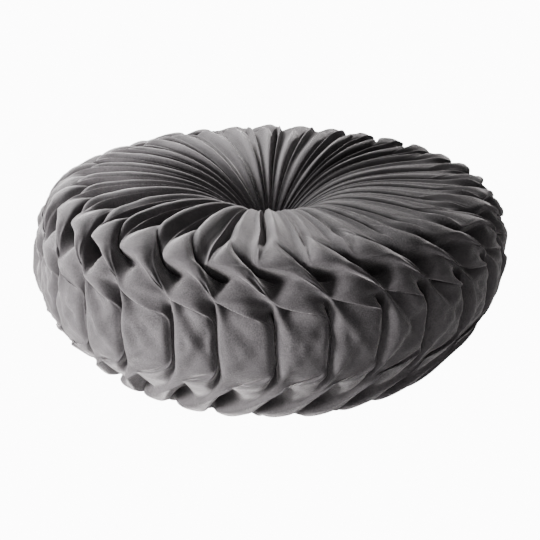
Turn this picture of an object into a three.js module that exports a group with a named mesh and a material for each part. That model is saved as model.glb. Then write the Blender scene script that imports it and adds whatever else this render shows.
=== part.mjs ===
// A round floor cushion in smocked velvet, built as one filled solid. Units are millimetres, +Z is up,
// and the origin is the middle of the base. The cover is one tube of cloth: its edges are gathered into a
// dip at the top and at the underside, and four rows of diagonal stitches round the side draw it into a
// plait of slanting folds over and under a plain band of upright tucks.
import * as THREE from "three";

// Driving sizes
const DIAMETER = 400;
const HEIGHT = 150;
const PLEATS = 32; // stitches in each row, and folds running to each dip
const ROW_TILT = 6; // the rows of stitches run this much higher on the right than in the middle
const UNEVEN_WIDTH = 0.12; // share of a pleat width by which a pleat may stand to one side
const UNEVEN_DEPTH = 0.16; // share of its depth by which a tuck may be deeper or shallower
const COLOUR = 0x66646a;

const RADIUS = DIAMETER / 2;
const PITCH = (2 * Math.PI) / PLEATS;

// The cloth between two stitches of a row stands out as a pleat. Above the upper rows and below the lower
// ones the pleats called "ribbon" show, on the band the ones called "panel" show, and between two rows a
// ribbon narrows to nothing while a panel opens beside it. Each section is a ring of the cushion:
//   out, up     radius as a share of the cushion's own, and height, of the crest of the pleats
//   ribbon      where the ribbon's raised left edge lies, in pleat widths round the ring
//   panel       where the panel's raised left edge lies, likewise
//   drop        how far the tucked right edges lie below the crest
//   tuck        how far a pleat that is folded away lies below the crest
//   crown       how far the middle of a pleat stands above a straight line between its edges
const SHIFT = -0.43; // the stitches next to the dips sit this far to the left of those beside the band
const FOLD = 0.09; // the share of a pleat width that a folded pleat still takes
const NEAR_DIP = { ribbon: SHIFT - 1 + FOLD, panel: SHIFT };
const ON_BAND = { ribbon: -FOLD, panel: 0 };
const between = (t) => ({
  ribbon: THREE.MathUtils.lerp(NEAR_DIP.ribbon, ON_BAND.ribbon, t),
  panel: THREE.MathUtils.lerp(NEAR_DIP.panel, ON_BAND.panel, t),
});
const SECTIONS = [
  { name: "gather above", out: 0.05, up: 98, ...NEAR_DIP, drop: 1, tuck: 2, crown: 0 },
  { name: "dip wall", out: 0.12, up: 114, ...NEAR_DIP, drop: 3, tuck: 5, crown: 0.3 },
  { name: "dip slope", out: 0.21, up: 131, ...NEAR_DIP, drop: 6, tuck: 9, crown: 0.8 },
  { name: "dip lip", out: 0.31, up: 142.5, ...NEAR_DIP, drop: 9, tuck: 14, crown: 1.5 },
  { name: "inner crest", out: 0.43, up: 148, ...NEAR_DIP, drop: 12, tuck: 18, crown: 2.5 },
  { name: "crest", out: 0.57, up: 150, ...NEAR_DIP, drop: 13, tuck: 20, crown: 3.5 },
  { name: "outer crest", out: 0.71, up: 150, ...NEAR_DIP, drop: 13, tuck: 19, crown: 4 },
  { name: "shoulder", out: 0.8, up: 148.5, ...NEAR_DIP, drop: 12, tuck: 16, crown: 3.5 },
  { name: "top stitches", out: 0.866, up: 145, ...NEAR_DIP, drop: 9, tuck: 11, crown: 2 },
  { name: "upper plait 1", out: 0.905, up: 140, ...between(0.2), drop: 9, tuck: 10, crown: 1.5 },
  { name: "upper plait 2", out: 0.933, up: 134.5, ...between(0.45), drop: 8, tuck: 10, crown: 1.5 },
  { name: "upper plait 3", out: 0.954, up: 128, ...between(0.75), drop: 8, tuck: 10, crown: 1 },
  { name: "second stitches", out: 0.972, up: 121, ...between(0.97), drop: 8, tuck: 10, crown: 1.5 },
  { name: "band top", out: 0.986, up: 112, ...ON_BAND, drop: 6, tuck: 8, crown: 3 },
  { name: "band upper", out: 0.996, up: 99, ...ON_BAND, drop: 5, tuck: 8, crown: 3.5 },
  { name: "band middle", out: 0.999, up: 88, ...ON_BAND, drop: 5, tuck: 8, crown: 3.5 },
  { name: "band lower", out: 0.993, up: 76, ...ON_BAND, drop: 5, tuck: 8, crown: 3.5 },
  { name: "band foot", out: 0.978, up: 65, ...ON_BAND, drop: 6, tuck: 8, crown: 3 },
  { name: "third stitches", out: 0.962, up: 57.5, ...between(0.97), drop: 8, tuck: 10, crown: 1.5 },
  { name: "lower plait 1", out: 0.94, up: 50, ...between(0.75), drop: 8, tuck: 10, crown: 1 },
  { name: "lower plait 2", out: 0.915, up: 43.5, ...between(0.45), drop: 8, tuck: 10, crown: 1.5 },
  { name: "lower plait 3", out: 0.89, up: 38, ...between(0.2), drop: 9, tuck: 10, crown: 1.5 },
  { name: "lowest stitches", out: 0.858, up: 31.5, ...NEAR_DIP, drop: 8, tuck: 10, crown: 2 },
  { name: "under shoulder", out: 0.8, up: 18.5, ...NEAR_DIP, drop: 9, tuck: 12, crown: 3 },
  { name: "under curve", out: 0.73, up: 7.5, ...NEAR_DIP, drop: 7, tuck: 9, crown: 2.5 },
  { name: "under edge", out: 0.67, up: 2, ...NEAR_DIP, drop: 3.5, tuck: 5, crown: 1 },
  { name: "foot outside", out: 0.61, up: 0, ...NEAR_DIP, drop: 0, tuck: 0, crown: 0 },
  { name: "foot inside", out: 0.33, up: 0, ...NEAR_DIP, drop: 0, tuck: 0, crown: 0 },
  { name: "under slope", out: 0.2, up: 11, ...NEAR_DIP, drop: 3, tuck: 5, crown: 0.5 },
  { name: "under wall", out: 0.105, up: 28, ...NEAR_DIP, drop: 2, tuck: 3, crown: 0.2 },
  { name: "gather below", out: 0.045, up: 41, ...NEAR_DIP, drop: 1, tuck: 1.5, crown: 0 },
];
const DIP_FLOOR = 96; // height of the gathered middle of the top
const DIP_ROOF = 42; // height of the gathered middle of the underside

// The six points of a section across one pleat width: left edge, middle and right edge of the ribbon,
// then the same three of the panel.
const POINTS = 6;
const MIDDLE = 0.45; // the middle point lies this share of the way from the left edge to the right one
const WALL = 0.012; // a raised edge stands this share of a pleat width beside the edge tucked under it

// Slow waves round the cushion keep the pleats from being alike. Whole numbers of waves close the ring.
function wave(angle, counts, phase) {
  return counts.reduce((sum, n, i) => sum + Math.sin(n * angle + phase * (i + 1)), 0) / counts.length;
}

// One point of the cloth, as its place round the ring in pleat widths and its depth below the crest.
function acrossPleat(section, point) {
  const { ribbon, panel, drop, tuck, crown } = section;
  const ribbonWidth = panel - ribbon;
  const panelWidth = 1 - ribbonWidth;
  const middleDepth = (width) => THREE.MathUtils.lerp(tuck, drop / 2 - crown, Math.min(1, width));
  const edgeDepth = (width) => (width > FOLD + WALL ? 0 : drop);
  return [
    { at: ribbon + WALL, depth: edgeDepth(ribbonWidth) },
    { at: ribbon + MIDDLE * ribbonWidth, depth: middleDepth(ribbonWidth) },
    { at: panel - WALL, depth: drop },
    { at: panel + WALL, depth: edgeDepth(panelWidth) },
    { at: panel + MIDDLE * panelWidth, depth: middleDepth(panelWidth) },
    { at: ribbon + 1 - WALL, depth: drop },
  ][point];
}

// The way out of the cushion at a section, square to its outline.
function outwards(index) {
  const before = SECTIONS[Math.max(index - 1, 0)];
  const after = SECTIONS[Math.min(index + 1, SECTIONS.length - 1)];
  const across = (after.out - before.out) * RADIUS;
  const down = before.up - after.up;
  const length = Math.hypot(across, down);
  return { out: down / length, up: across / length };
}

// The place of one point of the cover. The rows tilt most half way up the side, and the foot stays level.
function coverPoint(index, column) {
  const section = SECTIONS[index];
  const pleat = Math.floor(column / POINTS);
  const { at, depth } = acrossPleat(section, column % POINTS);
  const angle = (pleat + at + UNEVEN_WIDTH * wave(pleat * PITCH, [3, 7, 12], 1.3)) * PITCH;
  const deep = depth * (1 + UNEVEN_DEPTH * wave(pleat * PITCH + 2, [4, 9, 13], 2.1));
  const way = outwards(index);
  const radius = section.out * RADIUS - deep * way.out;
  const tilt = ROW_TILT * section.out * Math.sin((Math.PI * section.up) / HEIGHT) * Math.sin(angle);
  const height = Math.max(0, section.up - deep * way.up + tilt);
  return new THREE.Vector3(radius * Math.sin(angle), -radius * Math.cos(angle), section.up === 0 ? 0 : height);
}

// The cover starts as a plain turned body with a point for each point of each section, and each ring of it
// is then moved into the pleats.
function smockedCover() {
  const outline = [
    new THREE.Vector2(0, DIP_ROOF),
    ...SECTIONS.toReversed().map((s) => new THREE.Vector2(s.out * RADIUS, s.up)),
    new THREE.Vector2(0, DIP_FLOOR),
  ];
  const columns = PLEATS * POINTS;
  const geometry = new THREE.LatheGeometry(outline, columns);
  geometry.rotateX(Math.PI / 2);
  const position = geometry.getAttribute("position");
  for (let i = 0; i < position.count; i++) {
    const ring = i % outline.length;
    if (ring === 0 || ring === outline.length - 1) continue; // the two gathered middles stay on the axis
    const column = Math.floor(i / outline.length) % columns;
    const point = coverPoint(SECTIONS.length - ring, column);
    position.setXYZ(i, point.x, point.y, point.z);
  }
  geometry.computeVertexNormals();
  return geometry;
}

const velvet = new THREE.MeshStandardMaterial({ color: COLOUR, roughness: 0.85, metalness: 0 });
const cushion = new THREE.Mesh(smockedCover(), velvet);
cushion.name = "smocked_cushion";

const part = new THREE.Group();
part.add(cushion);
export default part;
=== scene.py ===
"""A round floor cushion in smocked velvet.

The cover is one tube of cloth over a filled round body. Four rows of diagonal stitches draw it up, so that
slanting ribbons pass over and under each other above and below a plain band, and its edges are gathered
into a dip at the top and at the underside.
"""

import math

import bmesh
import bpy
import numpy as np
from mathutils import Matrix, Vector


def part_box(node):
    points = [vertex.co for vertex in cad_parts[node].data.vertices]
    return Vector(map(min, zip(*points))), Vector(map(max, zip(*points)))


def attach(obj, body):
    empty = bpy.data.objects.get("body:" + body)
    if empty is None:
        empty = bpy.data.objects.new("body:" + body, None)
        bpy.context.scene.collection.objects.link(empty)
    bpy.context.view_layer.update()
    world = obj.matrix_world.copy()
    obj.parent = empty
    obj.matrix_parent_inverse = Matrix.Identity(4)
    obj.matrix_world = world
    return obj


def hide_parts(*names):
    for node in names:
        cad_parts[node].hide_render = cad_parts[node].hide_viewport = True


bl_info = {
    "name": "Smocked floor cushion",
    "version": (1, 0, 0),
    "blender": (4, 5, 0),
    "location": "View3D > Sidebar > Cushion",
    "description": "Builds a round floor cushion in smocked velvet, with its stage",
    "category": "Add Mesh",
}

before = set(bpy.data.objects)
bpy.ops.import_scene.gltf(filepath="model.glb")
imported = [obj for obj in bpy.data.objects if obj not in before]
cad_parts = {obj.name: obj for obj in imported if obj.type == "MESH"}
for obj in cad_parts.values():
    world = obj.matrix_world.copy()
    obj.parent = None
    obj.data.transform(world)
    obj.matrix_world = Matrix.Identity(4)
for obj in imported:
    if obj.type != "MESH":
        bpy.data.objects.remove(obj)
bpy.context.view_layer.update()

CUSHION_NODE = "smocked_cushion"
LOW, HIGH = (Vector(corner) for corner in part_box(CUSHION_NODE))
RADIUS = (HIGH.x - LOW.x) / 2
HEIGHT = HIGH.z - LOW.z
MM = 0.001

# The outline of the crests of the folds, from the middle of the top round to the middle of the underside:
# radius as a share of the cushion's, and height as a share of the cushion's.
OUTLINE = (
    (0.000, 0.640),
    (0.050, 0.685),
    (0.120, 0.780),
    (0.210, 0.877),
    (0.310, 0.945),
    (0.430, 0.985),
    (0.570, 1.000),
    (0.710, 1.000),
    (0.800, 0.990),
    (0.866, 0.967),
    (0.905, 0.933),
    (0.933, 0.897),
    (0.954, 0.853),
    (0.972, 0.807),
    (0.986, 0.747),
    (0.997, 0.660),
    (1.000, 0.587),
    (0.993, 0.507),
    (0.978, 0.433),
    (0.962, 0.383),
    (0.940, 0.333),
    (0.915, 0.290),
    (0.890, 0.253),
    (0.864, 0.207),
    (0.812, 0.120),
    (0.742, 0.048),
    (0.675, 0.012),
    (0.610, 0.000),
    (0.330, 0.000),
    (0.200, 0.073),
    (0.105, 0.187),
    (0.045, 0.270),
    (0.000, 0.285),
)
FULLNESS = 0.998  # radius of the cover's outline as a share of the cushion's
STITCH_HEIGHTS = (0.947, 0.805, 0.387, 0.125)  # the four rows of stitches, as shares of the height
SIDE_FROM = 0.6  # the rows of stitches lie outside this share of the radius
LAST_ROW = 5  # places on the outline run from 0 at the top's middle over the four rows to this one

# The chart that the cloth is stitched by has two squares to a pleat, A and B. Line "a" runs down the left
# of each A, and line "b" down the left of each B. Places down the chart are counted in squares from the
# upper end of the first row of stitches. The lower half mirrors the upper one, about MIDDLE, apart from
# the tables called BELOW, which take the place of the upper ones in the lower half.
MIDDLE = 4.0
# How far each line has turned to the right, in pleat widths.
TURN_A = {-6.0: -0.86, -3.0: -0.76, -1.6: -0.74, -0.65: -0.86, 0.2: -0.66, 1.0: -0.18, 2.0: 0.35,
          3.2: 1.27, 3.4: 1.335, 4.0: 1.335}
TURN_A_BELOW = {-6.0: -0.90, -3.0: -0.86, -1.2: -0.84, -0.65: -0.90, 0.2: -0.66, 1.0: -0.18, 1.8: 0.35,
                2.4: 0.95, 3.0: 1.29, 3.4: 1.335, 4.0: 1.335}
TURN_B = {-6.0: 0.00, -0.5: 0.0, 0.0: 0.0, 0.55: 0.31, 1.1: 0.58, 1.85: 0.92, 3.0: 1.37, 4.0: 1.37}
# How far down the outline each line lies: the rows of stitches are at 1, 2, 3 and 4, the middles of the
# top and the underside at 0 and 5.
DOWN_A = {-6.0: 0.0, -0.65: 0.74, 1.0: 1.0, 2.0: 2.0, 3.2: 2.17, 4.0: 2.5}
DOWN_B = {-6.0: 0.0, -1.45: 0.74, 0.0: 1.0, 0.55: 1.08, 1.1: 1.20, 1.85: 1.46, 3.0: 2.0, 4.0: 2.5}
# How deep each square is tucked in, in millimetres, along the lines in which it is folded; below nothing
# is a crown. A fold's place is the place down the chart, plus SLANT at the right edge of the square.
SLANT = {-1.0: -0.8, 0.6: 0.9, 1.4: 0.8, 3.4: 0.8, 4.0: 0.0}
TUCK_A = {-6.0: 0.0, 0.1: -1.0, 0.6: 9.0, 1.0: 15.0, 1.8: 15.0, 2.15: -2.5, 2.8: -3.0, 3.3: 4.0, 3.6: 14.0,
          4.0: 14.0}
TUCK_A_BELOW = {-6.0: 0.0, 0.1: -1.0, 0.6: 7.0, 1.0: 12.0, 1.8: 12.0, 2.15: -1.0, 2.8: -1.5, 3.15: 0.0,
                3.4: 12.0, 4.0: 14.0}
TUCK_B = {-6.0: 3.0, -4.0: 12.0, -2.0: 18.0, -1.2: 13.0, -0.5: -1.0, 0.5: -6.5, 1.4: -7.0, 2.3: -3.0,
          2.8: 4.0, 3.0: 10.0, 3.3: 5.0, 3.6: 0.0, 4.0: -1.4}
TUCK_B_BELOW = {-6.0: 3.0, -4.0: 8.0, -2.0: 12.0, -1.2: 8.0, -0.5: -1.0, 0.5: -8.0, 2.0: -8.0, 2.6: -3.0,
                3.0: 1.0, 3.4: -0.5, 4.0: -1.4}
# How far the cloth stands up along each line, in millimetres, to the right of it, or below nothing to the
# left of it.
LIP_A = {-6.0: 0.3, -3.0: 2.5, -1.2: 3.5, -0.6: 0.0, -0.1: -3.0, 1.0: -3.0, 1.7: -2.0, 2.0: 2.5, 2.4: 4.2,
         2.8: 4.2, 3.1: 3.0, 3.3: 0.0, 4.0: 0.0}
LIP_B = {-6.0: 0.5, -3.0: 3.5, -1.5: 5.5, -0.7: 5.0, 0.0: 3.0, 0.5: 3.5, 1.5: 3.0, 2.1: 1.0, 2.6: -1.0,
         3.4: 0.0, 4.0: 0.0}
LIPS_BELOW = 0.75  # share of the lips that is left below the band
LIP_WIDTH = 0.3  # a lip falls away over this share of a square beside its line
LIP_WALL = {-6.0: 0.2, -0.5: 0.18, 0.3: 0.08, 4.0: 0.09}  # and over this share on the other side
LIP_OVER = 0.05  # a lip of LIP_FULL reaches this share of a pleat width over the cloth that it covers
LIP_FULL = 6.0  # in millimetres
# How far the cloth sinks into the slits along both lines, in millimetres, and over what share of a square.
SINK = {-6.0: 0.0, 3.0: 0.0, 3.3: 5.0, 4.0: 5.0}
SINK_WIDTH = 0.055
# How strongly the loose cloth of the A squares swells on the left and sinks on the right.
SWELL = {-6.0: 0.0, -5.0: 0.4, -3.0: 0.8, -1.0: 1.0, -0.3: 1.0, 0.4: 0.0, 4.0: 0.0}
# In millimetres: how far its middle swells, how far its left side swells and its right side sinks, and how
# high its small ripples are.
FACE_CROWN = 2.0
FACE_LEAN = 3.4
FACE_RIPPLE = 1.1
FACE_BELOW = 0.4  # share of the crown and the lean that is left below the band
FACE_STRENGTHS = (0.4, 1.6)  # the least and the most of the lean and of the ripple that a pleat has
RIPPLES = 5  # half waves of the ripple across a face
RIPPLE_DRIFT = 0.7  # how far the ripples wander down the cloth, in radians of their wave

# The folds of the top are deep on one side and lie nearly flat on the other.
DEEPEST_LEFT = 110.0  # degrees from the front round to the left, where they are deepest
DEEPER = 0.8  # they are deeper there, and shallower across from it, by this share
MOST_DEEPER = 1.2  # the tucks of the B squares are deeper by no more than this factor
TOP_FROM = -0.5  # this holds for the folds above this place down the chart,
TOP_FADE = 0.5  # and in full from this many squares further up

# Folds that run from the end of a slit across the next panel: height in millimetres, how far across it
# they run for each square down, where they are highest, over how many squares, and how wide they are.
TAILS = ((4.2, 0.50, 3.70, 0.50, 0.085), (2.6, 0.95, 3.55, 0.35, 0.07), (2.0, 0.22, 3.80, 0.55, 0.06))
TAIL_START = (0.08, 3.2)  # share across the panel and place down the chart that they all run through
TAIL_VALLEY = 0.8  # a valley of this share of the height follows the ridge
VALLEY_ASIDE = 1.8  # at this many widths from it
TAILS_BELOW = 0.6  # share of their height that such folds have at the lower ends of the slits
TAIL_RUNS = (0.75, 1.25)  # the least and the most of its slope
TAIL_STRENGTHS = (0.6, 1.4)  # and of its height that such a fold has in a pleat
# Where the cloth puckers: the square whose left line it is, the place down the chart, how many small folds
# run out from it, how high they are in millimetres, and how far they reach in squares.
PUCKERS = (
    ("a", 1.0, 7, 0.9, 0.35),
    ("b", 0.0, 7, 0.9, 0.35),
    ("a", 2.0, 7, 1.0, 0.4),
    ("b", 3.0, 5, 0.8, 0.4),
    ("b", 3.3, 6, 1.5, 0.6),
    ("a", 3.3, 6, 1.2, 0.45),
)
PUCKERS_BELOW = 0.4  # share of their height that puckers have below the band
PUCKER_STRENGTHS = (0.4, 1.5)  # the least and the most of their height that they have in a pleat

# How unlike each other the pleats are: the share by which depths differ, and swells round the cushion, as
# their numbers to the turn, how far they climb at most, and their size.
UNEVEN_DEPTH = 0.25
MOST_UNEVEN = 1.5  # no pleat differs by more than this many times that share
BEND_ALL = ((5, 9, 13, 17), 2.5, 0.08)  # the size is in pleat widths
BEND_TOP = ((2, 3, 7), 0.5, 0.45)  # likewise, for the folds next to the dips
BEND_TOP_ENDS = 0.74  # where those end, in rows of stitches,
BEND_TOP_FADE = 0.4  # and over how many rows they fade in
SHIFT_DOWN = ((4, 7, 11, 15), 1, 0.035)  # the size is in rows of stitches

MOST_OUT = 4.5  # no fold stands further than this outside the outline, in millimetres
SINK_ROWS = (1, 1.7)  # the plain cloth lies below the outline by the setting called sink at the first of
SINK_SHARES = (1, 0.15)  # these rows of stitches, and by this share of it at the second
FOLDS_FULL = 0.5  # folds have their full depth outside this share of the radius
LEAST_FOLD = 0.04  # and this share of it at the middle
LEAST_RADIUS = 0.5 * MM
SMOOTHING = 2  # passes that soften the folds
SOFTENING = 0.25  # how far each pass moves a point towards its neighbours
LINE_ROUND = 0.16  # the tables are rounded off over this many squares

# Cells across each square, and how closely they crowd to the lines, from 0 to 1.
COLUMNS = ((12, 0.55), (18, 0.35))
ROW_STEPS = ((-5.97, -2.0, 14), (-2.0, 10.0, 102), (10.0, 13.97, 14))  # from, to and how many rows of cells

# Painted shade: one side of the top is made darker by mixing a darker copy of the velvet into it.
PAINTED_SHADE_RIGHT = 85.0  # degrees from the front round to the right, where that area has its middle
PAINTED_SHADE_STEEP = 1.6  # how sharply it ends round the cushion
PAINTED_SHADE_LESS = 0.15  # how much narrower than half the turn it is
PAINTED_SHADE_DOWN = 1.15  # where it ends, in rows of stitches,
PAINTED_SHADE_FADE = 0.3  # and over how many rows it fades in
PAINTED_SHADE_MIX = 0.75  # how much of the darker copy of the velvet, with little sheen, is mixed in where the painted shade is full

# The velvet's darkest and palest colours, as multiples of the colour setting, the shades that they stand
# for, how far soft patches and a fine speckle change the shade, and how much paler the lips of the folds are
# painted, a painted highlight.
DARKEST = 0.3
PALEST = 1.9
DARKEST_SHADE = -0.8
PALEST_SHADE = 1.0
PATCH_SHADE = 0.2
SPECKLE_SHADE = 0.45
# painted highlight: how much paler the lips of the folds are made
LIP_HIGHLIGHT = 0.2
NOISE_RANGE = (0.3, 0.7)  # a noise node's values lie mostly between these
PILE_BUMP = 0.8 * MM
SHEEN_TINT = (0.81, 0.765, 0.765, 1)
SHEEN_ROUGHNESS = 0.3

# The stage, in metres.
FLOOR_SIZE = 12
KEY_PLACE = (-0.98, -0.58, 0.27)
KEY_SIZE = 0.45
TOP_PLACE = (-0.56, 0.76, 0.76)
TOP_SIZE = 0.4
LIGHTS_AIM = (0, 0, 0.07)
CAMERA_PLACE = (0, -0.7375, 0.384)
CAMERA_AIM = (0, 0, 0.0616)
LENS = 60.5  # in millimetres, as the sensor's width is
SENSOR_WIDTH = 36


def lookup(table, places):
    """Values of a table at places down the chart, with its corners rounded off and its lower half mirrored.
    """
    keys = np.array(list(table))
    values = np.array(list(table.values()))
    offsets = np.linspace(-1, 1, 7)
    weights = np.exp(-2 * offsets**2)
    total = 0
    for offset, weight in zip(offsets, weights / weights.sum()):
        mirrored = MIDDLE - np.abs(places + LINE_ROUND * offset - MIDDLE)
        total = total + weight * np.interp(mirrored, keys, values)
    return total


class Outline:
    """The smooth outline of the body, measured by its length from the middle of the top."""

    def __init__(self, radius, height):
        corners = np.array([(r * radius, h * height) for r, h in OUTLINE])
        before = np.vstack((2 * corners[0] - corners[1], corners[:-1]))
        after = np.vstack((corners[1:], 2 * corners[-1] - corners[-2]))
        slopes = (after - before) / 2
        t = np.linspace(0, 1, 12, endpoint=False)[:, None]
        spans = [
            (2 * t**3 - 3 * t**2 + 1) * corners[i]
            + (t**3 - 2 * t**2 + t) * slopes[i]
            + (3 * t**2 - 2 * t**3) * corners[i + 1]
            + (t**3 - t**2) * slopes[i + 1]
            for i in range(len(corners) - 1)
        ]
        self.points = np.maximum(np.vstack(spans + [corners[-1:]]), 0)
        self.length = np.concatenate(([0], np.cumsum(np.hypot(*np.diff(self.points, axis=0).T))))
        side = self.points[:, 0] > SIDE_FROM * radius
        heights = self.points[side, 1]
        rows = [self.length[side][np.argmin(np.abs(heights - share * height))] for share in STITCH_HEIGHTS]
        self.rows = np.array([0, *rows, self.length[-1]])

    def at(self, down):
        """Radius and height at places counted in rows of stitches, and the way out of the body there."""
        length = np.interp(down, np.arange(len(self.rows)), self.rows)
        radius, height = (np.interp(length, self.length, self.points[:, k]) for k in (0, 1))
        step = 3 * MM
        across, rise = (
            np.interp(length + step, self.length, self.points[:, k])
            - np.interp(length - step, self.length, self.points[:, k])
            for k in (0, 1)
        )
        size = np.hypot(across, rise) + 1e-9
        return radius, height, -rise / size, across / size


def across_squares():
    """Places of the columns of one pleat across its two squares, from 0 to 2, crowded to the lines."""
    places = []
    for square, (cells, gather) in enumerate(COLUMNS):
        even = np.arange(cells) / cells
        places.append(square + even - gather * np.sin(2 * math.pi * even) / (2 * math.pi))
    return np.concatenate(places)


def down_chart():
    """Places of the rows of cells down the chart."""
    parts = [np.linspace(start, end, cells, endpoint=False) for start, end, cells in ROW_STEPS]
    return np.concatenate(parts + [[ROW_STEPS[-1][1]]])


class SmockedCloth:
    """The cover as it is stitched: rows of points down the chart, pleats, and columns across each pleat.

    After lay_out, turn and place say where each point lies, in pleat widths round the cushion and in rows
    of stitches down its outline. Every step after that adds to depth, the millimetres below the outline, and
    draws its own random numbers, so the steps stay in the order in which fold_cover calls them.
    """

    def __init__(self, settings):
        self.rng = np.random.default_rng(settings.seed)
        self.pleats = settings.pleats
        self.loose = settings.unevenness
        self.pitch = 2 * math.pi / self.pleats
        self.down = down_chart()
        self.half = MIDDLE - np.abs(self.down - MIDDLE)  # places down the chart, mirrored into its upper half
        self.below = (self.down > MIDDLE)[:, None, None]
        self.across = across_squares()
        self.share = self.across % 1  # how far across its square each column lies
        self.in_a = self.across < 1
        self.beside_a = np.where(self.across > 1, self.across - 2, self.across)
        self.beside_b = self.across - 1
        uneven = self.rng.normal(0, 1, (3, 1, self.pleats, 1)).clip(-MOST_UNEVEN, MOST_UNEVEN)
        self.wobble = 1 + UNEVEN_DEPTH * self.loose * uneven
        self.number = np.arange(self.pleats)[:, None]
        self.facing = 1 + DEEPER * np.cos(self.number * self.pitch + math.radians(DEEPEST_LEFT))
        on_top = np.clip((TOP_FROM - self.half) / TOP_FADE, 0, 1)[:, None, None]
        self.relief = 1 + on_top * (self.facing - 1)
        self.lay_out()

    def along(self, table):
        """A table's values at the rows of the cloth."""
        return lookup(table, self.down)[:, None, None]

    def lay_out(self):
        """Lays the lines of the chart round the cushion, and spreads the squares between them."""
        turn_a = np.where(self.below, self.along(TURN_A_BELOW), self.along(TURN_A)) + self.number
        turn_b = self.along(TURN_B) + self.number
        down_a, down_b = (
            np.where(self.below, LAST_ROW - self.along(table), self.along(table))
            for table in (DOWN_A, DOWN_B)
        )

        def spread(left, right):
            return left * (1 - self.share) + right * self.share

        self.turn = np.where(self.in_a, spread(turn_a, turn_b), spread(turn_b, turn_a + 1))
        self.place = np.where(self.in_a, spread(down_a, down_b), spread(down_b, down_a))
        self.depth = np.zeros_like(self.turn)
        self.over = np.zeros_like(self.turn)

    def tuck_squares(self):
        """Tucks the squares in or crowns them. Their folds lie aslant between their two lines."""
        slant = np.interp(self.half, list(SLANT), list(SLANT.values()))
        fold_at = (self.half[:, None] + slant[:, None] * self.share)[:, None, :]
        tuck_a, tuck_b = (
            np.where(self.below, lookup(table_below, fold_at), lookup(table, fold_at)) * change
            for table, table_below, change in (
                (TUCK_A, TUCK_A_BELOW, self.wobble[0]),
                (TUCK_B, TUCK_B_BELOW, self.wobble[1]),
            )
        )
        tuck = np.where(self.in_a, tuck_a, tuck_b * np.minimum(self.relief, MOST_DEEPER))
        self.depth = self.depth + tuck * np.sin(math.pi * self.share)

    def swell_faces(self):
        """Swells the loose faces beyond the outer rows of stitches on their left, and sinks their right."""
        strength = self.rng.uniform(*FACE_STRENGTHS, (2, self.pleats, 1))
        phase = self.rng.uniform(0, 2 * math.pi, (self.pleats, 1))
        phase = phase + RIPPLE_DRIFT * np.sin(self.down)[:, None, None]
        crown = np.sin(math.pi * self.share)
        lean = strength[0] * np.sin(2 * math.pi * self.share)
        face = -self.facing * (FACE_CROWN * crown + FACE_LEAN * lean) * np.where(self.below, FACE_BELOW, 1)
        face = face + FACE_RIPPLE * strength[1] * np.sin(RIPPLES * math.pi * self.share + phase) * crown
        self.depth = self.depth + self.along(SWELL) * np.where(self.in_a, face, 0)

    def raise_lips(self):
        """Lets the covering cloth stand up beside a line, and reach over the cloth on the other side."""
        wall = self.along(LIP_WALL)
        lines = ((self.beside_a, LIP_A, self.wobble[2]), (self.beside_b, LIP_B, 2 - self.wobble[2]))
        for beside, table, change in lines:
            lip = self.along(table) * change * self.relief * np.where(self.below, LIPS_BELOW, 1)
            for side in (1, -1):
                size = np.maximum(lip * side, 0)
                inside = np.maximum(side * beside, 0)
                outside = np.maximum(-side * beside, 0)
                bump = np.exp(-(inside / LIP_WIDTH) ** 2) * np.exp(-(outside / wall) ** 2)
                self.depth = self.depth - size * bump
                self.over = self.over + side * size / LIP_FULL * bump
            self.depth = self.depth + self.along(SINK) * np.exp(-(beside / SINK_WIDTH) ** 2)
        self.turn = self.turn - LIP_OVER * self.over

    def run_tails(self):
        """Runs folds from the ends of the slits across the next panel."""
        start_across, start_down = TAIL_START
        for height, slope, highest, length, width in TAILS:
            for down, share_of_height in ((self.down, 1), (2 * MIDDLE - self.down, TAILS_BELOW)):
                run = slope * self.rng.uniform(*TAIL_RUNS, (1, self.pleats, 1))
                strength = share_of_height * height * self.rng.uniform(*TAIL_STRENGTHS, (1, self.pleats, 1))
                rise = np.exp(-(((down - highest) / length) ** 2))[:, None, None]
                aside = (self.share - start_across - run * (down[:, None, None] - start_down)) / width
                ridge = np.exp(-(aside**2)) - TAIL_VALLEY * np.exp(-((aside - VALLEY_ASIDE) ** 2))
                self.depth = self.depth - np.where(self.in_a, 0, strength * rise * ridge)

    def pucker(self):
        """Runs small folds out from the stitches and from the ends of the slits."""
        share_of_height = np.where(self.below, PUCKERS_BELOW, 1)
        for line, at, count, height, reach in PUCKERS:
            beside = self.beside_a if line == "a" else self.beside_b
            rise = (self.half - at)[:, None, None]
            distance = np.hypot(beside, rise) / reach
            ray = np.arctan2(beside, rise) * count + self.rng.uniform(0, 2 * math.pi, (1, self.pleats, 1))
            strength = height * self.rng.uniform(*PUCKER_STRENGTHS, (1, self.pleats, 1)) * share_of_height
            self.depth = self.depth + strength * np.sin(ray) * distance * np.exp(0.5 - distance**2 / 2)

    def waves(self, place, counts, climbs, size):
        """Smooth random swells round the cushion, which close after a whole turn."""
        total = 0
        for count in counts:
            climb = self.rng.uniform(-climbs, climbs)
            phase = self.rng.uniform(0, 2 * math.pi)
            total = total + self.rng.uniform(0.5, 1) * np.sin(count * self.angle + climb * place + phase)
        return self.loose * size * total / math.sqrt(len(counts))

    def bend_pleats(self, first_stitch):
        """Turns the places round into angles, and moves every pleat a little off its place."""
        self.angle = self.turn * self.pitch
        from_middle = np.minimum(self.place, LAST_ROW - self.place)
        bend = self.waves(self.place, *BEND_ALL)
        near_dip = np.clip((BEND_TOP_ENDS - from_middle) / BEND_TOP_FADE, 0, 1)
        bend = bend + self.waves(self.place, *BEND_TOP) * near_dip
        self.angle = self.angle + bend * self.pitch + math.radians(first_stitch)
        shift = self.waves(3 * self.place, *SHIFT_DOWN) * np.clip(from_middle, 0, 1)
        self.place = self.place + shift


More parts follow.
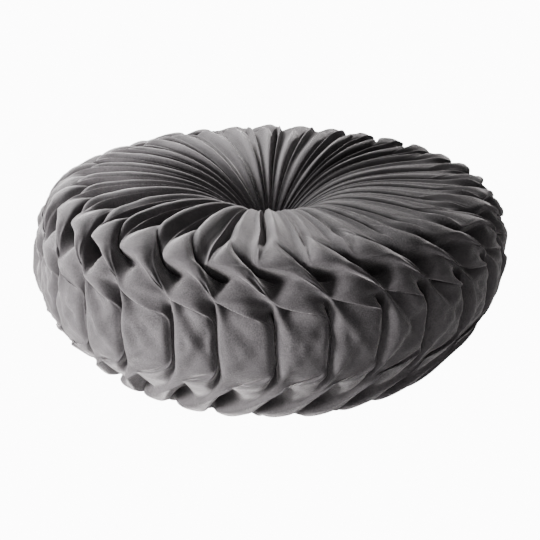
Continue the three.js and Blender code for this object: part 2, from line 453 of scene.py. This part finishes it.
def soften(points):
    """Evens out the folds a little, down the cloth and round it, and keeps them above the floor."""
    for _ in range(SMOOTHING):
        beside = (np.roll(points, 1, 1) + np.roll(points, -1, 1)) / 2
        along = points.copy()
        along[1:-1] = (points[:-2] + points[2:]) / 2
        points = points + SOFTENING * (beside - points) + SOFTENING * (along - points)
    points[..., 2] = np.maximum(points[..., 2], 0)
    return points


def painted_shade_on_top(angle, place):
    """How fully the right of the top is painted in shade, from 0 to 1."""
    turned = PAINTED_SHADE_STEEP * np.cos(angle - math.radians(PAINTED_SHADE_RIGHT)) - PAINTED_SHADE_LESS
    return np.clip(turned, 0, 1) * np.clip((PAINTED_SHADE_DOWN - place) / PAINTED_SHADE_FADE, 0, 1)


def fold_cover(settings, outline):
    """The points of the cover, as rows down the cloth and columns round it, and masks for its material."""
    cloth = SmockedCloth(settings)
    cloth.tuck_squares()
    cloth.swell_faces()
    cloth.raise_lips()
    cloth.run_tails()
    cloth.pucker()
    cloth.bend_pleats(settings.first_stitch)
    angle, place, depth, over = (
        values.reshape(len(cloth.down), -1) for values in (cloth.angle, cloth.place, cloth.depth, cloth.over)
    )

    radius, level, out, up = outline.at(place)
    deep = depth + settings.sink * np.interp(place, SINK_ROWS, SINK_SHARES)
    deep = np.where(deep < 0, MOST_OUT * np.tanh(deep / MOST_OUT), deep)
    deep = deep * MM * np.clip(radius / (FOLDS_FULL * RADIUS), LEAST_FOLD, 1)
    radius = np.maximum(radius - deep * out, LEAST_RADIUS)
    level = level - deep * up
    tilt = settings.row_tilt * np.sin(math.pi * np.clip(level / HEIGHT, 0, 1)) * radius / RADIUS
    level = np.maximum(level + tilt * np.sin(angle), 0)
    points = np.stack((radius * np.sin(angle), -radius * np.cos(angle), level), -1)
    # The second mask is painted shade on the right of the top, which darkens the velvet there.
    return soften(points), {"lip": np.abs(over), "painted_shade": painted_shade_on_top(angle, place)}


def closed_tube(name, points):
    """A mesh from rows of points down a tube and columns round it, each end closed by a fan to its middle."""
    rows, columns = points.shape[:2]
    tube = bmesh.new()
    bmesh.ops.create_grid(tube, x_segments=columns, y_segments=rows - 1, size=1)
    corners = list(tube.verts)
    for corner, place in zip(corners, np.concatenate((points, points[:, :1]), 1).reshape(-1, 3)):
        corner.co = place
    kept = [corners[row * (columns + 1) + column] for row in range(rows) for column in range(columns)]
    seam = {corners[row * (columns + 1) + columns]: corners[row * (columns + 1)] for row in range(rows)}
    bmesh.ops.weld_verts(tube, targetmap=seam)
    bmesh.ops.holes_fill(tube, edges=[edge for edge in tube.edges if edge.is_boundary], sides=0)
    ends = [face for face in tube.faces if len(face.verts) > 4]
    kept += bmesh.ops.poke(tube, faces=ends)["verts"]
    for number, corner in enumerate(kept):
        corner.index = number
    tube.verts.sort()
    for face in tube.faces:
        face.smooth = True
    bmesh.ops.recalc_face_normals(tube, faces=tube.faces)
    mesh = bpy.data.meshes.new(name)
    tube.to_mesh(mesh)
    tube.free()
    if len(mesh.vertices) != rows * columns + 2:
        raise RuntimeError("The cover's mesh doesn't have the points that it should have.")
    return mesh


class Nodes:
    """Adds shader nodes to a material; sockets are wrapped so that they can be added and multiplied."""

    def __init__(self, material):
        material.use_nodes = True
        self.tree = material.node_tree
        self.tree.nodes.clear()

    def add(self, kind, inputs=None, **settings):
        node = self.tree.nodes.new(kind)
        for name, value in settings.items():
            setattr(node, name, value)
        for name, value in (inputs or {}).items():
            self.put(node.inputs[name], value)
        return node

    def put(self, socket, value):
        if isinstance(value, Value):
            self.tree.links.new(value.socket, socket)
        else:
            socket.default_value = value

    def math(self, operation, *values):
        node = self.tree.nodes.new("ShaderNodeMath")
        node.operation = operation
        for socket, value in zip(node.inputs, values):
            self.put(socket, value)
        return Value(self, node.outputs[0])

    def attribute(self, name):
        return Value(self, self.add("ShaderNodeAttribute", attribute_name=name).outputs["Fac"])

    def noise(self, vector, scale, detail, roughness):
        inputs = {"Vector": vector, "Scale": scale, "Detail": detail, "Roughness": roughness}
        return Value(self, self.add("ShaderNodeTexNoise", inputs).outputs["Fac"])

    def ramp(self, value, low, high, to_low=0.0, to_high=1.0):
        inputs = {"Value": value, "From Min": low, "From Max": high, "To Min": to_low, "To Max": to_high}
        return Value(self, self.add("ShaderNodeMapRange", inputs).outputs["Result"])

    def mix(self, share, first, second):
        node = self.tree.nodes.new("ShaderNodeMix")
        node.data_type = "RGBA"
        for socket, value in zip((node.inputs[0], node.inputs[6], node.inputs[7]), (share, first, second)):
            self.put(socket, value)
        return Value(self, node.outputs[2])

    def finish(self, kind, shader):
        """Links a shader to the output node of a material or a world."""
        self.tree.links.new(shader.outputs[0], self.add(kind).inputs["Surface"])


class Value:
    """One output of a shader node, for sums in plain Python."""

    def __init__(self, nodes, socket):
        self.nodes = nodes
        self.socket = socket

    def __add__(self, other):
        return self.nodes.math("ADD", self, other)

    def __sub__(self, other):
        return self.nodes.math("SUBTRACT", self, other)

    def __rsub__(self, other):
        return self.nodes.math("SUBTRACT", other, self)

    def __mul__(self, other):
        return self.nodes.math("MULTIPLY", self, other)

    __radd__ = __add__
    __rmul__ = __mul__


def pile_shader(nodes, base, normal, roughness, sheen, gloss):
    """Velvet with the given roughness, sheen and gloss, for the plain velvet and for its darker copy that
    paints shade.
    """
    return nodes.add("ShaderNodeBsdfPrincipled", {
        "Base Color": base,
        "Roughness": roughness,
        "Sheen Weight": sheen,
        "Sheen Roughness": SHEEN_ROUGHNESS,
        "Sheen Tint": SHEEN_TINT,
        "Specular IOR Level": gloss,
        "Normal": normal,
    })


def velvet_material(settings):
    """Short-pile velvet: dark seen square on, pale where the pile is seen from the side, with a painted
    highlight on the lips of the folds and painted shade on the right of the top.
    """
    material = bpy.data.materials.new("velvet")
    nodes = Nodes(material)
    place = Value(nodes, nodes.add("ShaderNodeTexCoord").outputs["Object"])
    lip = nodes.attribute("lip")
    painted_shade = nodes.attribute("painted_shade")
    patches = nodes.noise(place, scale=45.0, detail=4.0, roughness=0.6)
    speckle = nodes.noise(place, scale=1100.0, detail=3.0, roughness=0.7)
    # Painted highlight: the lips of the folds are made paler.
    shade = (
        nodes.ramp(patches, *NOISE_RANGE, -PATCH_SHADE, PATCH_SHADE)
        + nodes.ramp(speckle, *NOISE_RANGE, -SPECKLE_SHADE, SPECKLE_SHADE)
        + lip * LIP_HIGHLIGHT
    )
    # Painted shade: the right of the top is taken down towards the darkest colour.
    base = nodes.mix(
        nodes.ramp(shade - painted_shade, DARKEST_SHADE, PALEST_SHADE),
        (*[channel * DARKEST for channel in settings.colour], 1),
        (*[channel * PALEST for channel in settings.colour], 1),
    )
    bump = nodes.add("ShaderNodeBump", {"Height": speckle, "Strength": 0.6, "Distance": PILE_BUMP})
    normal = Value(nodes, bump.outputs["Normal"])
    # Painted shade: a darker copy of the velvet, with little sheen, is mixed in on the right of the top.
    both = nodes.add("ShaderNodeMixShader", {"Fac": painted_shade * PAINTED_SHADE_MIX})
    unshaded_velvet = pile_shader(nodes, base, normal, roughness=0.8, sheen=0.68, gloss=0.1)
    painted_shade_velvet = pile_shader(nodes, base, normal, roughness=0.9, sheen=0.12, gloss=0.05)
    nodes.tree.links.new(unshaded_velvet.outputs[0], both.inputs[1])
    nodes.tree.links.new(painted_shade_velvet.outputs[0], both.inputs[2])
    nodes.finish("ShaderNodeOutputMaterial", both)
    return material


def plain_material(name, colour, roughness):
    material = bpy.data.materials.new(name)
    nodes = Nodes(material)
    shader = nodes.add("ShaderNodeBsdfPrincipled", {"Base Color": (*colour, 1), "Roughness": roughness})
    nodes.finish("ShaderNodeOutputMaterial", shader)
    return material


def surroundings(settings):
    """Plain white surroundings, brighter where the camera sees them than for the light that they give."""
    world = bpy.data.worlds.new("surroundings")
    nodes = Nodes(world)
    seen = Value(nodes, nodes.add("ShaderNodeLightPath").outputs["Is Camera Ray"])
    strength = nodes.ramp(seen, 0, 1, settings.world_strength, settings.backdrop_strength)
    background = nodes.add("ShaderNodeBackground", {"Color": (1, 1, 1, 1), "Strength": strength})
    nodes.finish("ShaderNodeOutputWorld", background)
    return world


def place_and_aim(thing, place, aim):
    """Puts a light or a camera in its place and points it at a place."""
    thing.location = place
    thing.rotation_euler = (Vector(aim) - Vector(place)).to_track_quat("-Z", "Y").to_euler()


def area_light(context, name, place, size, power):
    light = bpy.data.lights.new(name, "AREA")
    light.size = size
    light.energy = power
    lamp = bpy.data.objects.new(name, light)
    place_and_aim(lamp, place, LIGHTS_AIM)
    context.scene.collection.objects.link(lamp)


def add_floor(context, colour):
    """A floor that the camera doesn't see, for the light that it throws back."""
    bpy.ops.mesh.primitive_plane_add(size=FLOOR_SIZE, location=(0, 0, 0))
    floor = context.active_object
    floor.name = "floor"
    floor.data.materials.append(plain_material("floor", colour, roughness=0.6))
    floor.visible_camera = False


def add_camera(context):
    camera = bpy.data.cameras.new("camera")
    camera.lens = LENS
    camera.sensor_width = SENSOR_WIDTH
    view = bpy.data.objects.new("camera", camera)
    place_and_aim(view, CAMERA_PLACE, CAMERA_AIM)
    context.scene.collection.objects.link(view)
    context.scene.camera = view


class CushionSettings(bpy.types.PropertyGroup):
    pleats: bpy.props.IntProperty(
        name="Pleats", description="Stitches in each row, and folds running to each dip",
        default=32, min=12, max=60)
    row_tilt: bpy.props.FloatProperty(
        name="Row tilt",
        description="How much higher the rows of stitches run on the right than in the middle",
        default=0.006, unit="LENGTH")
    first_stitch: bpy.props.FloatProperty(
        name="First stitch",
        description="Where the first stitch of the first row lies, in degrees to the right",
        default=-2.85)
    sink: bpy.props.FloatProperty(
        name="Sink", description="How far below the outline the plain cloth lies, in millimetres",
        default=4.0)
    unevenness: bpy.props.FloatProperty(
        name="Unevenness", description="How unlike each other the folds are", default=1.0, min=0, max=2)
    seed: bpy.props.IntProperty(name="Seed", description="Picks another set of uneven folds", default=4)
    colour: bpy.props.FloatVectorProperty(
        name="Colour", description="Colour of the velvet seen square on", default=(0.054, 0.0495, 0.0515),
        subtype="COLOR", min=0, max=1)


class StageSettings(bpy.types.PropertyGroup):
    floor_colour: bpy.props.FloatVectorProperty(
        name="Floor", description="Colour of the floor", default=(0.9, 0.9, 0.9),
        subtype="COLOR", min=0, max=1)
    key_power: bpy.props.FloatProperty(
        name="Lights", description="Power of each of the two lights", default=58.0, unit="POWER")
    world_strength: bpy.props.FloatProperty(
        name="Surroundings", description="How brightly the plain surroundings light the cushion",
        default=0.33)
    backdrop_strength: bpy.props.FloatProperty(
        name="Backdrop", description="How bright the backdrop looks", default=12.0)


class CUSHION_OT_cover(bpy.types.Operator):
    """Builds the smocked cover of the cushion"""
    bl_idname = "cushion.cover"
    bl_label = "Smocked cover"

    def execute(self, context):
        settings = context.scene.cushion
        points, masks = fold_cover(settings, Outline(FULLNESS * RADIUS, HEIGHT))
        mesh = closed_tube("smocked_cover", points)
        for name, values in masks.items():
            layer = mesh.attributes.new(name, "FLOAT", "POINT")
            layer.data.foreach_set("value", np.concatenate((values.ravel(), (0, 0))).astype(np.float32))
        mesh.materials.append(velvet_material(settings))
        cover = bpy.data.objects.new("smocked_cover", mesh)
        context.scene.collection.objects.link(cover)
        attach(cover, "root")
        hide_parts(CUSHION_NODE)
        return {"FINISHED"}


class CUSHION_OT_stage(bpy.types.Operator):
    """Builds the floor, the lights and the camera"""
    bl_idname = "cushion.stage"
    bl_label = "Stage"

    def execute(self, context):
        settings = context.scene.cushion_stage
        add_floor(context, settings.floor_colour)
        area_light(context, "key", KEY_PLACE, KEY_SIZE, settings.key_power)
        area_light(context, "top", TOP_PLACE, TOP_SIZE, settings.key_power)
        context.scene.world = surroundings(settings)
        add_camera(context)
        return {"FINISHED"}


class CUSHION_PT_panel(bpy.types.Panel):
    """Lists the pieces of the cushion and their settings"""
    bl_idname = "CUSHION_PT_panel"
    bl_label = "Smocked cushion"
    bl_space_type = "VIEW_3D"
    bl_region_type = "UI"
    bl_category = "Cushion"

    def draw(self, context):
        for operator, settings in (("cushion.cover", context.scene.cushion),
                                   ("cushion.stage", context.scene.cushion_stage)):
            box = self.layout.box()
            for name in settings.__annotations__:
                box.prop(settings, name)
            box.operator(operator)


CLASSES = (CushionSettings, StageSettings, CUSHION_OT_cover, CUSHION_OT_stage, CUSHION_PT_panel)


def register():
    for cls in CLASSES:
        bpy.utils.register_class(cls)
    bpy.types.Scene.cushion = bpy.props.PointerProperty(type=CushionSettings)
    bpy.types.Scene.cushion_stage = bpy.props.PointerProperty(type=StageSettings)


def unregister():
    del bpy.types.Scene.cushion_stage
    del bpy.types.Scene.cushion
    for cls in reversed(CLASSES):
        bpy.utils.unregister_class(cls)


def main():
    register()
    bpy.ops.cushion.cover()
    bpy.ops.cushion.stage()


if __name__ == "__main__":
    main()
